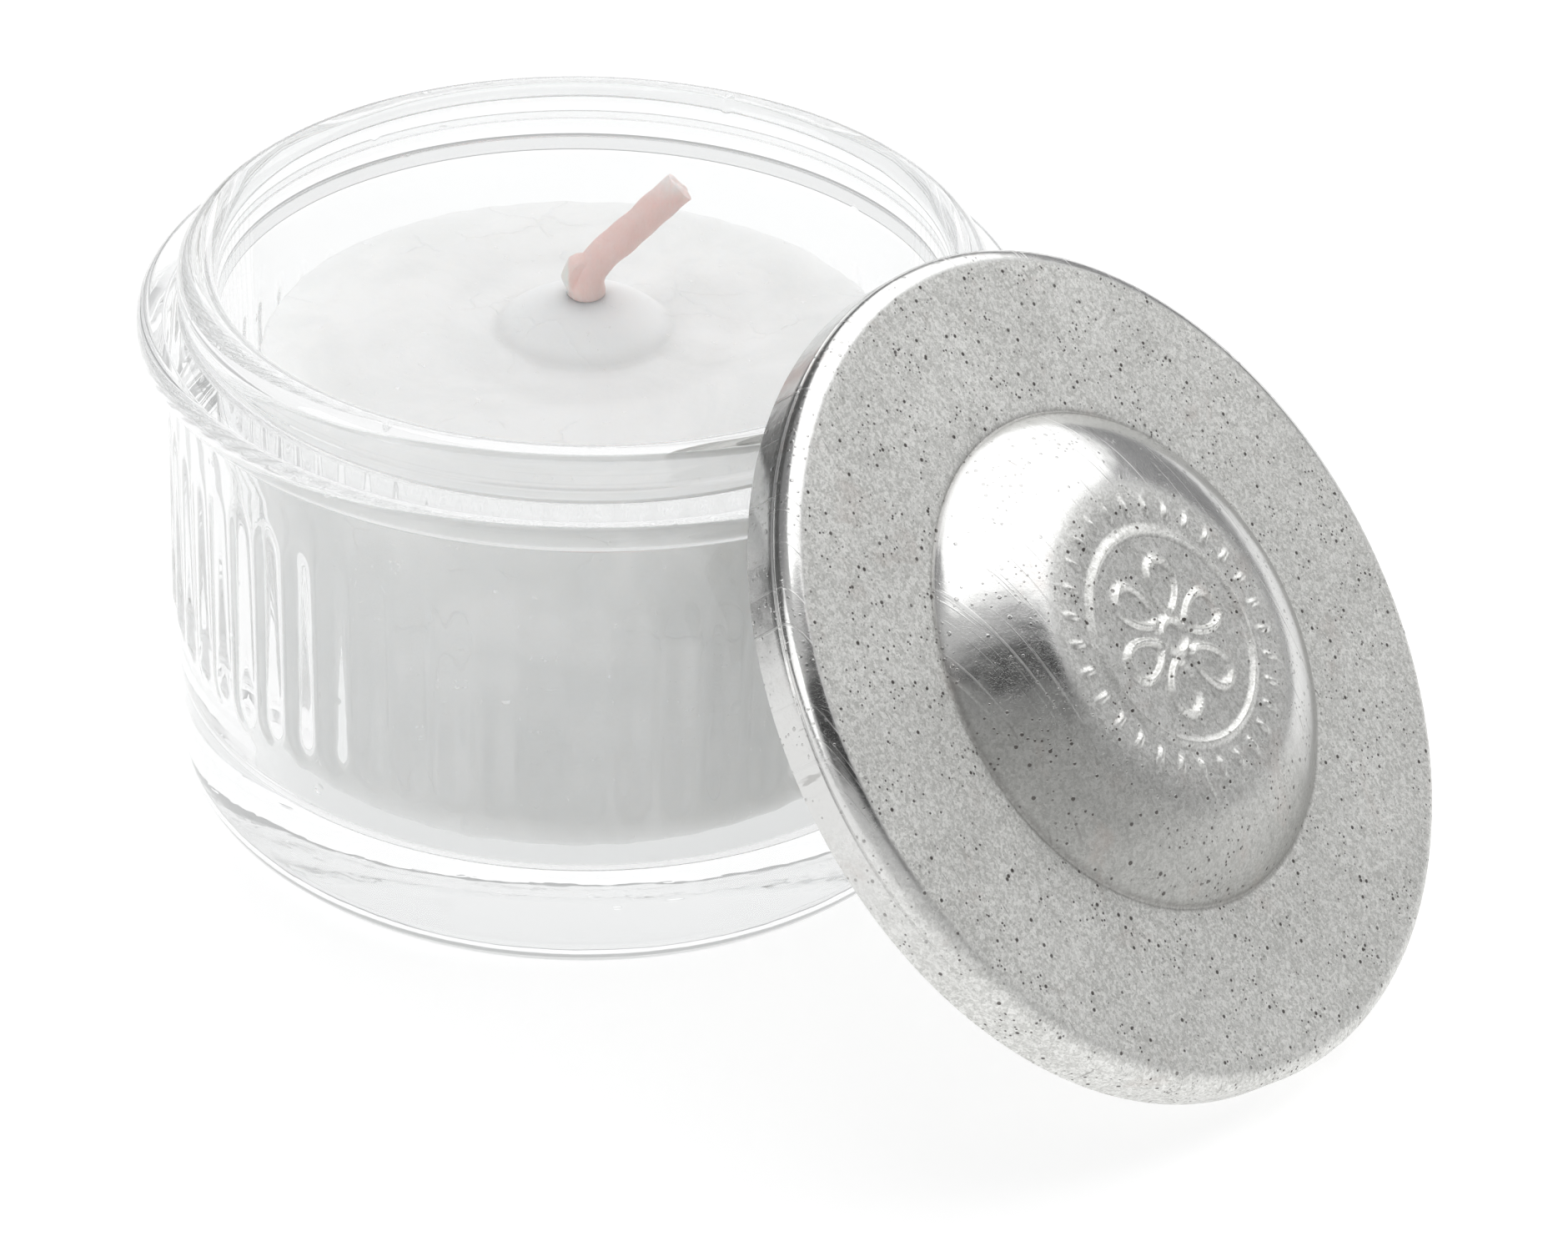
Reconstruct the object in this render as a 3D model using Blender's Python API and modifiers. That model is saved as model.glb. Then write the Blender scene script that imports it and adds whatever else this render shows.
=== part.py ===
"""Tealight holder: a ribbed pressed-glass jar, the tealight in it, and its tin lid leaning on the rim.

The origin is the jar's axis on the table, +Z is up and the lid leans along +X.
Lengths in the constants are millimetres.
"""

import math

import bmesh
import bpy
from mathutils import Matrix, Vector

MM = 0.001
GAP = 0.3  # clearance between solids that would touch

# Glass jar, from the table up
BASE_FILLET = 2.8
BASE_FILLET_STEPS = 5
FOOT_R = 24.55  # radius of the foot, below the mould's parting line
PARTING_Z = 7.9
WALL_R = 24.68  # radius of the wall between the ribs
INSIDE_FLOOR_Z = 6.2
INSIDE_FLOOR_R = 21.2
INSIDE_FILLET = 1.0
INSIDE_FILLET_STEPS = 3
SHOULDER_R = 26.46  # outer radius of the shoulder bead
SHOULDER_BEAD = 0.81
SHOULDER_ARC = (110, -80)  # degrees, 0 outwards and 90 up
SHOULDER_STEPS = 6
SHOULDER_Z = 31.17
LEDGE_Z = 31.9  # the flat between the neck and the shoulder bead
LEDGE_R = 24.63
NECK_R = 23.75
RIM_R = 24.0
RIM_BEAD = 1.152
RIM_ARC = (180, -40)
RIM_STEPS = 8
RIM_Z = 33.87
JAR_STEPS = 60

# Ribs round the jar's wall
RIB_COUNT = 60
RIB_LOW_Z = 12.2
RIB_HIGH_Z = 26.2
RIB_WIDTH = 2.2
RIB_HEIGHT = 0.36
RIB_END_STRETCH = 2.1  # how much longer than round each rib's ends are
RIB_SIDES = 10
RIB_RINGS = 7

# Tin lid, in its own frame: the brim's upper face is at height 0 and the skirt hangs below
LID_R = 25.34
SKIRT_DEPTH = 3.43
TIN = 0.3
LID_EDGE_R = 1.1
LID_EDGE_STEPS = 4
LID_GROOVE_DROP = 1.35
LID_GROOVE_DEPTH = 0.08
DOME_R = 14.92
DOME_HEIGHT = 3.54
DOME_TOP_R = 7.7
FLANK_STEPS = 6
RING_R = 6.39
RING_WIDTH = 0.56
RING_HEIGHT = 0.14
LID_STEPS = 60
LEAN = math.radians(47.71)  # tilt of the lid's normal from vertical
LID_REACH = 37.97  # from the jar's axis out to the middle of the lid

# Tealight
CANDLE_X = -0.4
CANDLE_Y = 0.0
CANDLE_BASE_Z = INSIDE_FLOOR_Z + GAP
WAX_R = 19.0
WAX_TOP_Z = 28.39
WAX_EDGE = 0.6
WAX_EDGE_STEPS = 1
WAX_FOOT_R = 19.35  # the wax has spread a little at its foot
WAX_FOOT_HEIGHT = 1.6
WAX_FOOT_EDGE = 0.3
MOUND_R = 5.5
MOUND_HEIGHT = 2.3
MOUND_CURVE = 0.75  # below 1 the mound is fuller than a cosine
MOUND_ROOT = 0.2
MOUND_STEPS = 2
MOUND_TURN = math.radians(2.5)
WAX_STEPS = 24
WICK_X = -1.7
WICK_Y = 2.45
WICK_R = 1.09
WICK_BEND_Z = 32.1
WICK_BEND_LENGTH = 1.2  # from each end of the bend to its corner
WICK_BEND_STEPS = 4
WICK_TIP = (2.23, 6.39, 37.24)
TAB_R = 6.5
TAB_NECK_HEIGHT = 4.0
TAB_STEPS = 12
SHARP_ANGLE = math.radians(35)


def clear_scene():
    for obj in list(bpy.data.objects):
        bpy.data.objects.remove(obj, do_unlink=True)


def new_collection(name):
    collection = bpy.data.collections.new(name)
    bpy.context.scene.collection.children.link(collection)
    return collection


def new_material(name, color, roughness, metallic=0.0, transmission=0.0, ior=1.5):
    material = bpy.data.materials.new(name)
    material.use_nodes = True
    shader = material.node_tree.nodes["Principled BSDF"]
    shader.inputs["Base Color"].default_value = (*color, 1.0)
    shader.inputs["Roughness"].default_value = roughness
    shader.inputs["Metallic"].default_value = metallic
    shader.inputs["Transmission Weight"].default_value = transmission
    shader.inputs["IOR"].default_value = ior
    return material


def new_empty(name, location, collection):
    empty = bpy.data.objects.new(name, None)
    empty.location = Vector(location) * MM
    collection.objects.link(empty)
    return empty


def arc(center_r, center_z, radius, start, end, steps):
    """Points on an arc, from the start angle to the end angle in degrees, 0 outwards and 90 up."""
    points = []
    for step in range(steps + 1):
        angle = math.radians(start + (end - start) * step / steps)
        points.append((center_r + radius * math.cos(angle), center_z + radius * math.sin(angle)))
    return points


def turned(name, profile, steps, collection, material=None, ring=False):
    """Turns (radius, height) points about Z. A ring's profile closes on itself, away from the axis."""
    mesh = bpy.data.meshes.new(name)
    edges = [(index, index + 1) for index in range(len(profile) - 1)]
    if ring:
        edges.append((len(profile) - 1, 0))
    mesh.from_pydata([(radius * MM, 0.0, height * MM) for radius, height in profile], edges, [])
    if material:
        mesh.materials.append(material)
    obj = bpy.data.objects.new(name, mesh)
    collection.objects.link(obj)
    screw = obj.modifiers.new("turn", "SCREW")
    screw.steps = steps
    screw.render_steps = steps
    screw.use_merge_vertices = True
    screw.merge_threshold = 0.00001
    return obj


def boolean(obj, other, operation):
    modifier = obj.modifiers.new(operation.lower(), "BOOLEAN")
    modifier.operation = operation
    modifier.object = other


def hide_cutter(obj):
    obj.hide_render = True
    obj.display_type = "WIRE"


def jar_profile():
    """From the middle of the inside floor, up the inside, over the rim and down to the table."""
    rim_center = RIM_R - RIM_BEAD
    shoulder_center = SHOULDER_R - SHOULDER_BEAD
    profile = [(0.0, INSIDE_FLOOR_Z)]
    fillet_r = INSIDE_FLOOR_R - INSIDE_FILLET
    fillet_z = INSIDE_FLOOR_Z + INSIDE_FILLET
    profile += arc(fillet_r, fillet_z, INSIDE_FILLET, -90, 0, INSIDE_FILLET_STEPS)
    profile += arc(rim_center, RIM_Z, RIM_BEAD, *RIM_ARC, RIM_STEPS)
    profile += [(NECK_R, RIM_Z - RIM_BEAD), (NECK_R, LEDGE_Z), (LEDGE_R, LEDGE_Z)]
    profile += arc(shoulder_center, SHOULDER_Z, SHOULDER_BEAD, *SHOULDER_ARC, SHOULDER_STEPS)
    profile += [(WALL_R, SHOULDER_Z - 2 * SHOULDER_BEAD), (WALL_R, PARTING_Z), (FOOT_R, PARTING_Z)]
    profile += arc(FOOT_R - BASE_FILLET, BASE_FILLET, BASE_FILLET, 0, -90, BASE_FILLET_STEPS)
    profile.append((0.0, 0.0))
    return profile


def rib_bodies(collection):
    """All the ribs as one mesh of separate long capsules, set into the wall so a low arch stands proud."""
    radius = ((RIB_WIDTH / 2) ** 2 + RIB_HEIGHT**2) / (2 * RIB_HEIGHT)
    center_r = WALL_R + RIB_HEIGHT - radius
    end_length = RIB_END_STRETCH * RIB_WIDTH / 2
    half_straight = (RIB_HIGH_Z - RIB_LOW_Z) / 2 - end_length
    middle_z = (RIB_HIGH_Z + RIB_LOW_Z) / 2
    cage = bmesh.new()
    for index in range(RIB_COUNT):
        rib = bmesh.ops.create_uvsphere(cage, u_segments=RIB_SIDES, v_segments=RIB_RINGS, radius=radius * MM)
        turn = Matrix.Rotation(math.tau * (index + 0.5) / RIB_COUNT, 4, "Z")
        for vert in rib["verts"]:
            vert.co.z *= RIB_END_STRETCH
            vert.co.z += math.copysign(half_straight, vert.co.z) * MM
            vert.co = turn @ (vert.co + Vector((center_r, 0.0, middle_z)) * MM)
    mesh = bpy.data.meshes.new("rib_bodies")
    cage.to_mesh(mesh)
    cage.free()
    ribs = bpy.data.objects.new("rib_bodies", mesh)
    collection.objects.link(ribs)
    hide_cutter(ribs)
    return ribs


def make_jar(parts, cutters):
    glass = new_material("clear_glass", (1.0, 1.0, 1.0), 0.02, transmission=1.0, ior=1.5)
    jar = turned("glass_jar", jar_profile(), JAR_STEPS, parts, glass)
    boolean(jar, rib_bodies(cutters), "UNION")


def lid_profile():
    """The lid's outer face, from the middle of the dome out over the brim and down the skirt."""
    # The flank is one arc, level at the dome's top and meeting the brim at the dome's foot.
    run = DOME_R - DOME_TOP_R
    flank_r = (run**2 + DOME_HEIGHT**2) / (2 * DOME_HEIGHT)
    steepest = math.degrees(math.asin(run / flank_r))
    groove_z = -LID_GROOVE_DROP
    profile = [(0.0, DOME_HEIGHT), (RING_R - RING_WIDTH / 2, DOME_HEIGHT)]
    profile += [(RING_R, DOME_HEIGHT + RING_HEIGHT), (RING_R + RING_WIDTH / 2, DOME_HEIGHT)]
    profile += arc(DOME_TOP_R, DOME_HEIGHT - flank_r, flank_r, 90, 90 - steepest, FLANK_STEPS)
    profile += arc(LID_R - LID_EDGE_R, -LID_EDGE_R, LID_EDGE_R, 90, 0, LID_EDGE_STEPS)
    profile += [(LID_R - LID_GROOVE_DEPTH, groove_z), (LID_R, groove_z - LID_GROOVE_DEPTH * 2)]
    profile.append((LID_R, -SKIRT_DEPTH))
    return profile


def make_lid(parts):
    tin = new_material("pressed_tin", (0.62, 0.62, 0.61), 0.35, metallic=1.0)
    center_z = LID_R * math.sin(LEAN) + SKIRT_DEPTH * math.cos(LEAN)
    lid_center = new_empty("lid_center", (LID_REACH, 0.0, center_z), parts)
    lid_center.rotation_euler = (0.0, LEAN, 0.0)
    lid = turned("tin_lid", lid_profile(), LID_STEPS, parts, tin)
    shell = lid.modifiers.new("sheet", "SOLIDIFY")
    shell.thickness = TIN * MM
    shell.offset = -1.0
    shell.use_even_offset = True
    lid.parent = lid_center


def wax_profile():
    """From the middle of the flat top, down the side and under the foot."""
    profile = [(0.0, WAX_TOP_Z)]
    profile += arc(WAX_R - WAX_EDGE, WAX_TOP_Z - WAX_EDGE, WAX_EDGE, 90, 0, WAX_EDGE_STEPS)
    profile.append((WAX_R, CANDLE_BASE_Z + WAX_FOOT_HEIGHT))
    foot_r = WAX_FOOT_R - WAX_FOOT_EDGE
    profile += arc(foot_r, CANDLE_BASE_Z + WAX_FOOT_EDGE, WAX_FOOT_EDGE, 0, -90, WAX_EDGE_STEPS)
    profile.append((0.0, CANDLE_BASE_Z))
    return profile


def mound_profile():
    """The mound round the wick, from its top to a root a little below the wax's flat top."""
    root_z = WAX_TOP_Z - MOUND_ROOT
    profile = [(0.0, WAX_TOP_Z + MOUND_HEIGHT)]
    for step in range(1, MOUND_STEPS + 1):
        share = step / MOUND_STEPS
        lift = (MOUND_HEIGHT + MOUND_ROOT) * math.cos(share * math.pi / 2) ** MOUND_CURVE
        profile.append((MOUND_R * share, root_z + lift))
    profile.append((0.0, root_z))
    return profile


def wick_hole_profile():
    """The hollow in the wax: a recess for the tab, a bore for its neck and a bore for the wick."""
    tab_bore = TAB_R + GAP
    neck_bore = WICK_R + GAP + TIN + GAP
    wick_bore = WICK_R + GAP
    tab_top = CANDLE_BASE_Z + TIN + GAP
    neck_top = CANDLE_BASE_Z + TAB_NECK_HEIGHT + GAP
    hole_top = WAX_TOP_Z + 2 * MOUND_HEIGHT
    profile = [(0.0, hole_top), (wick_bore, hole_top), (wick_bore, neck_top), (neck_bore, neck_top)]
    profile += [(neck_bore, tab_top), (tab_bore, tab_top), (tab_bore, 0.0), (0.0, 0.0)]
    return profile


def wick_points():
    """Straight up through the wax, then a short bend into the lean."""
    bend = Vector((WICK_X, WICK_Y, WICK_BEND_Z))
    tip = Vector(WICK_TIP)
    lean = (tip - bend).normalized()
    upright = Vector((0.0, 0.0, WICK_BEND_LENGTH))
    points = [Vector((WICK_X, WICK_Y, CANDLE_BASE_Z + TIN))]
    for step in range(WICK_BEND_STEPS + 1):
        # A quadratic curve from just below the bend to just past it
        share = step / WICK_BEND_STEPS
        below = bend - upright * (1 - share)
        past = bend + lean * WICK_BEND_LENGTH * share
        points.append(below.lerp(past, share))
    points.append(tip)
    return points


def make_wick(parts, candle_center):
    cotton = new_material("waxed_cotton", (0.84, 0.5, 0.44), 0.55)
    curve = bpy.data.curves.new("wick", "CURVE")
    curve.dimensions = "3D"
    curve.bevel_depth = WICK_R * MM
    curve.bevel_resolution = 2
    curve.use_fill_caps = True
    points = wick_points()
    spline = curve.splines.new("POLY")
    spline.points.add(len(points) - 1)
    for spot, point in zip(spline.points, points):
        spot.co = (*((point - candle_center) * MM), 1.0)
    curve.materials.append(cotton)
    wick = bpy.data.objects.new("wick", curve)
    parts.objects.link(wick)
    return wick


def make_tab(parts):
    """The pressed steel tab that holds the wick upright: a disc with a crimped neck."""
    steel = new_material("tab_steel", (0.7, 0.7, 0.7), 0.3, metallic=1.0)
    bore = WICK_R + GAP
    disc_top = CANDLE_BASE_Z + TIN
    neck_top = CANDLE_BASE_Z + TAB_NECK_HEIGHT
    profile = [(bore, neck_top), (bore + TIN, neck_top), (bore + TIN, disc_top)]
    profile += [(TAB_R, disc_top), (TAB_R, CANDLE_BASE_Z), (bore, CANDLE_BASE_Z)]
    return turned("wick_sustainer", profile, TAB_STEPS, parts, steel, ring=True)


def make_candle(parts, cutters):
    center = Vector((CANDLE_X, CANDLE_Y, 0.0))
    candle_center = new_empty("candle_center", center, parts)
    wick_offset = Vector((WICK_X, WICK_Y, 0.0)) - center
    wax = turned("wax_block", wax_profile(), WAX_STEPS, parts, new_material("wax", (0.93, 0.93, 0.92), 0.5))
    mound = turned("wax_mound", mound_profile(), TAB_STEPS, cutters)
    hole = turned("wick_hole", wick_hole_profile(), TAB_STEPS, cutters)
    boolean(wax, mound, "UNION")
    boolean(wax, hole, "DIFFERENCE")
    tab = make_tab(parts)
    wick = make_wick(parts, center)
    for obj in (wax, mound, hole, tab, wick):
        obj.parent = candle_center
    for obj in (mound, hole, tab):
        obj.location = wick_offset * MM
    # Turned a little, so that no edge of the mound runs along an edge of the bore
    mound.rotation_euler.z = MOUND_TURN
    for obj in (mound, hole):
        hide_cutter(obj)


def smooth(obj):
    obj.data.shade_smooth()
    obj.data.set_sharp_from_angle(angle=SHARP_ANGLE)


def main():
    clear_scene()
    parts = new_collection("tealight_holder")
    cutters = new_collection("cutters")
    make_jar(parts, cutters)
    make_lid(parts)
    make_candle(parts, cutters)
    for obj in parts.objects:
        if obj.type == "MESH":
            smooth(obj)


main()
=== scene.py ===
"""Looks of the tealight holder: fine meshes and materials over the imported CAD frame.

Lengths in the constants are millimetres, in the frame of the part: the jar's axis is Z, the table is
at height 0 and the lid leans along +X.
"""

import math

import bpy
import numpy as np
from mathutils import Matrix, Quaternion, Vector


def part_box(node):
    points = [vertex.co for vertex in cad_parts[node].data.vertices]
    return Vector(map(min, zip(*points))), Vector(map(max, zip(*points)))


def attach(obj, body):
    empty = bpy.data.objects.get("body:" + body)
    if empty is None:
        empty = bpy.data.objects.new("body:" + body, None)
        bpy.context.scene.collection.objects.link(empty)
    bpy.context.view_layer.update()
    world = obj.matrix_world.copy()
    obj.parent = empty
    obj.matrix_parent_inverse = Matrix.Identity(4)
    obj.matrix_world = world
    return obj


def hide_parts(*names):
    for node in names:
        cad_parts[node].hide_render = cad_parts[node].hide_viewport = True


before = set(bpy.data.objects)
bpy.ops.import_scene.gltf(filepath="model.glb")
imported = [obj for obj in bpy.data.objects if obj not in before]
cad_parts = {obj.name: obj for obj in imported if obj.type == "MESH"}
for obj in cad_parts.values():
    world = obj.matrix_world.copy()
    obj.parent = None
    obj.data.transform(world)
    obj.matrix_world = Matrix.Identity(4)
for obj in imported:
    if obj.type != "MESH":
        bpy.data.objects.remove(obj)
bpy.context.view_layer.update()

MM = 0.001
jar_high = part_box("glass_jar")[1]
lid_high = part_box("tin_lid")[1]
wax_low, wax_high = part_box("wax_block")
tab_low, tab_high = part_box("wick_sustainer")

# Jar
JAR_SEGMENTS = 720
JAR_H = jar_high.z / MM
SHOULDER_R = jar_high.x / MM
FLOOR_Z = 6.2
FLOOR_R = 21.2
MOUTH_R = 21.7
RIM_R = 24.0
RIM_ROUND = 1.15
NECK_R = 23.75
NECK_TOP_Z = 32.9
LEDGE_Z = 31.95
SHOULDER_ROUND = 0.8
SHOULDER_LOW_Z = 30.36
WALL_TOP_Z = 29.55
WALL_R = 24.68
PARTING_Z = 7.9
FOOT_R = 24.55
FOOT_ROUND = 2.8
FOOT_LINE_Z = 3.2
FOOT_LINE_W = 0.4
FOOT_LINE_DEPTH = 0.1
GLASS_INSET = 0.04  # keeps the ripple inside the CAD box
GLASS_RIPPLE = 0.007
OUTSIDE_SEED = 3
INSIDE_SEED = 8
RIB_COUNT = 60
RIB_LOW_Z = 11.0
RIB_HIGH_Z = 26.2
RIB_WIDTH = 2.4
RIB_HEIGHT = 0.3
RIB_FADE = 0.5
RIB_END = 2.0
ROPE_COUNT = 180
ROPE_DEPTH = 0.0015
ROPE_Z = 31.75

# Lid, in its own frame: the brim's upper face is at height 0 and the skirt hangs below
LID_SEGMENTS = 420
LID_PLACE = "lid_place"  # the attribute that keeps each point's place in the lid's own frame
LID_R = lid_high.y / MM
LEAN = math.radians(47.71)
LID_REACH = 37.97
SKIRT = 3.43
TIN = 0.3
EDGE_ROUND = 1.1
GROOVE_DROP = 1.35
GROOVE_DEPTH = 0.08
DOME_R = 14.92
DOME_H = 3.54
DOME_TOP_R = 7.7
RING_R = 6.39
RING_W = 0.56
RING_H = 0.17
DASH_COUNT = 30
DASH_R = (7.25, 8.35)
DASH_W = 0.26
DASH_H = 0.16
PETAL_COUNT = 6
PETAL_MIDDLE = 3.05
PETAL_LENGTH = 1.55
PETAL_WIDTH = 1.05
PETAL_TAPER = 0.25
MOTIF_CIRCLE_R = 1.0
MOTIF_W = 0.55
MOTIF_H = 0.24
LID_DENT = 0.012

# Tealight
WAX_SEGMENTS = 360
WAX_R = 19.0
WAX_FOOT_R = (wax_high.x - wax_low.x) / 2 / MM
WAX_FOOT_H = 1.6
WAX_X = (wax_high.x + wax_low.x) / 2 / MM
WAX_Y = (wax_high.y + wax_low.y) / 2 / MM
WAX_BASE_Z = wax_low.z / MM
WAX_TOP_Z = 28.39
MOUND_R = 5.5
MOUND_H = 2.3
MOUND_ROOT = 0.2
MOUND_CURVE = 0.75
MOAT_R = 8.6
MOAT_W = 1.1
MOAT_DEPTH = 0.13
WAX_RAGGED = 0.05
WAX_WORN_EDGE = 0.04
WAX_UNEVEN = 0.04
WICK_X = (tab_high.x + tab_low.x) / 2 / MM
WICK_Y = (tab_high.y + tab_low.y) / 2 / MM
WICK_R = 1.09
CORD_R = WICK_R - 0.1  # before its lumps, its twist and the wax at its foot
WICK_SEGMENTS = 48
WICK_BEND_Z = 32.1
WICK_BEND = 1.2
WICK_TIP = (2.23, 6.39, 37.24)
FLAP_SIDE = (-0.8, -0.6, 0.0)  # the side of the foot where a flake of wax clings
FLAP_Z = (30.9, 32.5)
FLAP_REACH = 0.5
TAB_R = (tab_high.x - tab_low.x) / 2 / MM
TAB_BASE_Z = tab_low.z / MM
TAB_TOP_Z = tab_high.z / MM
TAB_SEGMENTS = 120
TAB_THICKNESS = 0.3
TAB_CRIMP = 0.09

# Table
TABLE_REACH = 3000
TABLE_Z = -0.02

# Camera
VIEW_AZIMUTH = math.radians(34.86)
VIEW_ELEVATION = math.radians(31.63)
VIEW_DISTANCE = 304.25
VIEW_HEIGHT = 14.4
AIM_HEADING = math.radians(32.11)
AIM_PITCH = math.radians(32.42)
AIM_ROLL = math.radians(2.17)
LENS = 114.48

# Studio: the black strip is a band round STRIP_POLE, and it fades out away from STRIP_MIDDLE
STRIP_POLE = (0.741, -0.455, -0.494)
STRIP_MIDDLE = (0.682, -0.1, 0.731)
LEFT_CARD = (-1.0, -0.1, 0.2)
FRONT = (0.45, -0.75, 0.5)


# ---------------------------------------------------------------- meshes

POLE_SIZE = 1e-7  # a row smaller than this is a single point


def rounded(corners, spacing):
    """A line of points through (radius, height, rounding) corners, with straight runs cut to the spacing."""
    spots = [np.array(corner[:2], float) for corner in corners]
    halves = [None]
    wanted = [0.0]
    for index in range(1, len(spots) - 1):
        back = spots[index - 1] - spots[index]
        ahead = spots[index + 1] - spots[index]
        cosine = back @ ahead / (np.linalg.norm(back) * np.linalg.norm(ahead))
        halves.append(math.acos(np.clip(cosine, -1, 1)) / 2)
        wanted.append(corners[index][2] / math.tan(halves[index]))
    wanted.append(0.0)
    line = [spots[0]]
    for index in range(1, len(spots) - 1):
        here = spots[index]
        half = halves[index]
        back = spots[index - 1] - here
        ahead = spots[index + 1] - here
        back_length = np.linalg.norm(back)
        ahead_length = np.linalg.norm(ahead)
        reach = wanted[index]
        for length, other in ((back_length, wanted[index - 1]), (ahead_length, wanted[index + 1])):
            if reach + other > length * 0.998:
                reach = min(reach, length * 0.998 * wanted[index] / (wanted[index] + other))
        start = here + back / back_length * reach
        end = here + ahead / ahead_length * reach
        turn = math.pi - 2 * half
        steps = max(2, round(turn / math.radians(18))) if reach > 0.01 else 0
        center = here + (back / back_length + ahead / ahead_length) * reach / (2 * math.cos(half) ** 2)
        line.append(start)
        for step in range(1, steps):
            share = step / steps
            spoke = (start - center) * (1 - share) + (end - center) * share
            line.append(center + spoke / np.linalg.norm(spoke) * np.linalg.norm(start - center))
        if steps:
            line.append(end)
    line.append(spots[-1])
    cut = [line[0]]
    for point in line[1:]:
        pieces = max(1, math.ceil(np.linalg.norm(point - cut[-1]) / spacing))
        first = cut[-1]
        cut += [first + (point - first) * step / pieces for step in range(1, pieces + 1)]
    return np.array(cut)


def lathe_mesh(name, rows, closed=False):
    """A smooth mesh from rows of points round an axis, in millimetres. A row whose points meet is a pole."""
    points = []
    starts = []
    for row in rows:
        size = 1 if np.ptp(row, axis=0).max() < POLE_SIZE else len(row)
        starts.append((len(points), size))
        points.extend(row[:size])
    faces = []
    pairs = list(zip(starts, starts[1:]))
    if closed:
        pairs.append((starts[-1], starts[0]))
    for (first, first_size), (second, second_size) in pairs:
        size = max(first_size, second_size)
        for index in range(size):
            after = (index + 1) % size
            if first_size == 1:
                faces.append((first, second + index, second + after))
            elif second_size == 1:
                faces.append((first + index, second, first + after))
            else:
                faces.append((first + index, second + index, second + after, first + after))
    mesh = bpy.data.meshes.new(name)
    mesh.from_pydata((np.array(points) * MM).tolist(), [], faces)
    mesh.shade_smooth()
    mesh.set_sharp_from_angle(angle=math.radians(40))
    return mesh


def spun(profile, segments, center=(0.0, 0.0)):
    """Rows of points from (radius, height) points. The center may be one point or one for each row."""
    angles = np.arange(segments) * math.tau / segments
    centers = np.broadcast_to(np.array(center, float), (len(profile), 2))
    rows = []
    for (radius, height), middle in zip(profile, centers):
        ring = np.stack([np.cos(angles) * radius, np.sin(angles) * radius, np.full(segments, height)], 1)
        ring[:, :2] += middle
        rows.append(ring)
    return rows


def ripple(angle, height, seed, waves=9, lowest=2, highest=14, vertical=0.35):
    """Smooth random waviness of about one unit, from sine waves round the axis and along it."""
    random = np.random.default_rng(seed)
    total = np.zeros(np.broadcast(angle, height).shape)
    for _ in range(waves):
        turns = random.integers(lowest, highest)
        pitch = random.uniform(-vertical, vertical)
        total += np.sin(angle * turns + height * pitch * math.tau / 4 + random.uniform(0, math.tau))
    return total / math.sqrt(waves)


def smoothstep(value, low, high):
    share = np.clip((value - low) / (high - low), 0, 1)
    return share * share * (3 - 2 * share)


def keep_place(mesh, name):
    """Keeps the points' places, in millimetres, as an attribute that the material reads."""
    spots = np.empty(len(mesh.vertices) * 3, np.float32)
    mesh.vertices.foreach_get("co", spots)
    mesh.attributes.new(name, "FLOAT_VECTOR", "POINT").data.foreach_set("vector", spots / MM)


def new_piece(name, mesh, material, body, nodes):
    piece = bpy.data.objects.new(name, mesh)
    bpy.context.scene.collection.objects.link(piece)
    mesh.materials.append(material)
    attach(piece, body)
    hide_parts(*nodes)
    return piece


# ---------------------------------------------------------------- node helper


class Nodes:
    """A node tree under construction, with short calls for the nodes used here."""

    def __init__(self, tree):
        self.tree = tree

    def node(self, kind, inputs=(), **settings):
        node = self.tree.nodes.new(kind)
        for setting, value in settings.items():
            setattr(node, setting, value)
        named = inputs.items() if isinstance(inputs, dict) else enumerate(inputs)
        for socket, value in named:
            self.put(node.inputs[socket], value)
        return node

    def put(self, socket, value):
        if isinstance(value, bpy.types.NodeSocket):
            self.tree.links.new(value, socket)
        elif value is not None:
            socket.default_value = value

    def math(self, operation, *values):
        return self.node("ShaderNodeMath", values, operation=operation).outputs[0]

    def step(self, value, low, high):
        """Rises smoothly from 0 at low to 1 at high, or falls if low is the larger."""
        node = self.node("ShaderNodeMapRange", [value], interpolation_type="SMOOTHSTEP")
        falls = low > high
        node.inputs["From Min"].default_value = min(low, high)
        node.inputs["From Max"].default_value = max(low, high)
        node.inputs["To Min"].default_value = 1.0 if falls else 0.0
        node.inputs["To Max"].default_value = 0.0 if falls else 1.0
        return node.outputs[0]

    def range(self, value, low, high):
        """Maps 0 to 1 onto low to high."""
        return self.math("MULTIPLY_ADD", value, high - low, low)

    def mix(self, factor, first, second, blend="MIX"):
        node = self.node("ShaderNodeMix", data_type="RGBA", blend_type=blend)
        for index, value in ((0, factor), (6, first), (7, second)):
            self.put(node.inputs[index], value)
        return node.outputs[2]


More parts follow.
